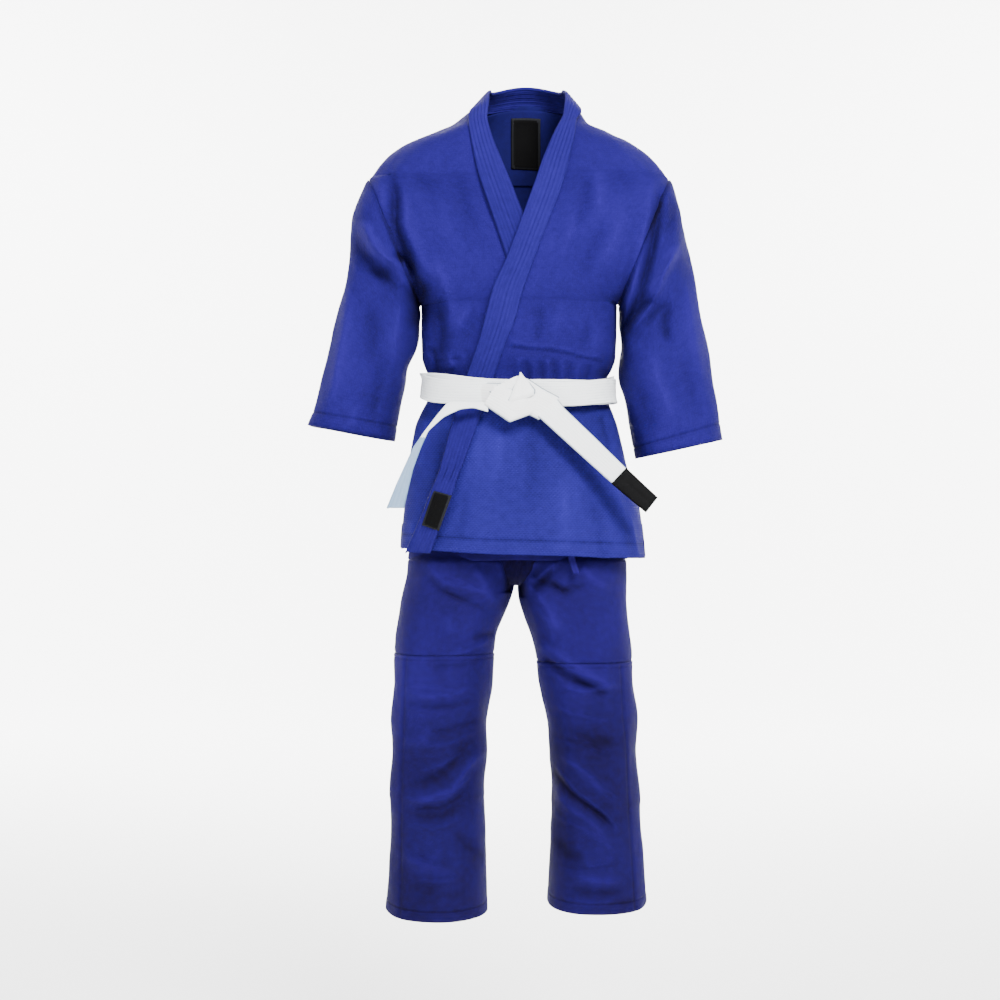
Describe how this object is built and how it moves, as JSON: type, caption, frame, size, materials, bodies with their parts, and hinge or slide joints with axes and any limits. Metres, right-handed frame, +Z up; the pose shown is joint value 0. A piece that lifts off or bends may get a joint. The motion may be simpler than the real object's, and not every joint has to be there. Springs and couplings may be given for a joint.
{
  "type": "martial arts uniform",
  "caption": "Worn-shape judo uniform: wrap-over woven jacket with stitched lapels and wide sleeves, tied flat belt with hanging ends, and loose drawstring trousers with doubled knees.",
  "frame": {"origin": "centre of the neck opening at the level of the shoulder line, where a hanger or the wearer's shoulders hold the jacket", "axes": "+Z up, -Y is the front of the uniform, +X is the wearer's left"},
  "size_m": [0.663, 0.3048, 1.328],
  "materials": {
    "jacket_cloth": "coarse rice-grain cotton weave",
    "lapel_cloth": "twill band with rows of stitching",
    "skirt_cloth": "diamond weave cotton",
    "trouser_cloth": "smooth cotton twill",
    "belt_cotton": "stitched cotton belt",
    "black_label": "satin woven label"
  },
  "bodies": {
    "jacket": {"jacket_back_panel": "jacket_cloth", "jacket_front_left": "jacket_cloth", "jacket_front_right": "jacket_cloth", "shoulder_yoke": "jacket_cloth", "collar_back": "lapel_cloth", "lapel_left_upper": "lapel_cloth", "lapel_right_upper": "lapel_cloth", "neck_label": "black_label", "belt_inner_wrap": "belt_cotton", "belt_outer_wrap": "belt_cotton", "belt_knot": "belt_cotton"},
    "skirt_front": {"skirt_front_left": "skirt_cloth", "skirt_front_right": "skirt_cloth", "lapel_left_lower": "lapel_cloth", "lapel_right_lower": "lapel_cloth", "lapel_patch": "black_label", "side_vent_patches_front": "skirt_cloth"},
    "skirt_back": {"skirt_back": "skirt_cloth", "side_vent_patches_back": "skirt_cloth"},
    "belt_tail_left": {"belt_tail_left": "belt_cotton", "belt_end_label": "black_label"},
    "belt_tail_right": {"belt_tail_right": "belt_cotton"},
    "sleeve_left": {"sleeve_left": "jacket_cloth", "cuff_left": "jacket_cloth"},
    "sleeve_right": {"sleeve_right": "jacket_cloth", "cuff_right": "jacket_cloth"},
    "trousers": {"trouser_waistband": "trouser_cloth", "trouser_hips": "trouser_cloth", "crotch_gusset": "trouser_cloth", "drawstring": "trouser_cloth"},
    "thigh_left": {"thigh_left": "trouser_cloth", "knee_patch_left_upper": "trouser_cloth"},
    "thigh_right": {"thigh_right": "trouser_cloth", "knee_patch_right_upper": "trouser_cloth"},
    "shin_left": {"shin_left": "trouser_cloth", "knee_patch_left_lower": "trouser_cloth", "hem_left": "trouser_cloth"},
    "shin_right": {"shin_right": "trouser_cloth", "knee_patch_right_lower": "trouser_cloth", "hem_right": "trouser_cloth"}
  },
  "joints": [
    {"name": "sleeve_left_raise", "type": "hinge", "parent": "jacket", "child": "sleeve_left", "pos_m": [0.2435, 0, -0.0965], "axis": [0, -1, 0], "range_deg": [0, 65]},
    {"name": "sleeve_right_raise", "type": "hinge", "parent": "jacket", "child": "sleeve_right", "pos_m": [-0.2435, 0, -0.0965], "axis": [0, 1, 0], "range_deg": [0, 65]},
    {"name": "skirt_front_swing", "type": "hinge", "parent": "jacket", "child": "skirt_front", "pos_m": [0, -0.126, -0.4655], "axis": [-1, 0, 0], "range_deg": [0, 12]},
    {"name": "skirt_back_swing", "type": "hinge", "parent": "jacket", "child": "skirt_back", "pos_m": [0, 0.1165, -0.4655], "axis": [1, 0, 0], "range_deg": [0, 25]},
    {"name": "belt_tail_left_swing", "type": "hinge", "parent": "skirt_front", "child": "belt_tail_left", "pos_m": [0.048, -0.147, -0.473], "axis": [0, -1, 0], "range_deg": [-25, 20]},
    {"name": "belt_tail_right_swing", "type": "hinge", "parent": "skirt_front", "child": "belt_tail_right", "pos_m": [-0.072, -0.147, -0.452], "axis": [0, 1, 0], "range_deg": [-4, 25]},
    {"name": "trousers_slide", "type": "slide", "parent": "jacket", "child": "trousers", "axis": [0, 0, 1], "range_m": [-0.3, 0]},
    {"name": "hip_left", "type": "hinge", "parent": "trousers", "child": "thigh_left", "pos_m": [0, -0.114, -0.7235], "axis": [-1, 0, 0], "range_deg": [0, 60]},
    {"name": "hip_right", "type": "hinge", "parent": "trousers", "child": "thigh_right", "pos_m": [0, -0.114, -0.7235], "axis": [-1, 0, 0], "range_deg": [0, 60]},
    {"name": "knee_left", "type": "hinge", "parent": "thigh_left", "child": "shin_left", "pos_m": [0.117, 0.0875, -0.967], "axis": [1, 0, 0], "range_deg": [0, 80]},
    {"name": "knee_right", "type": "hinge", "parent": "thigh_right", "child": "shin_right", "pos_m": [-0.127, 0.0875, -0.967], "axis": [1, 0, 0], "range_deg": [0, 80]}
  ]
}
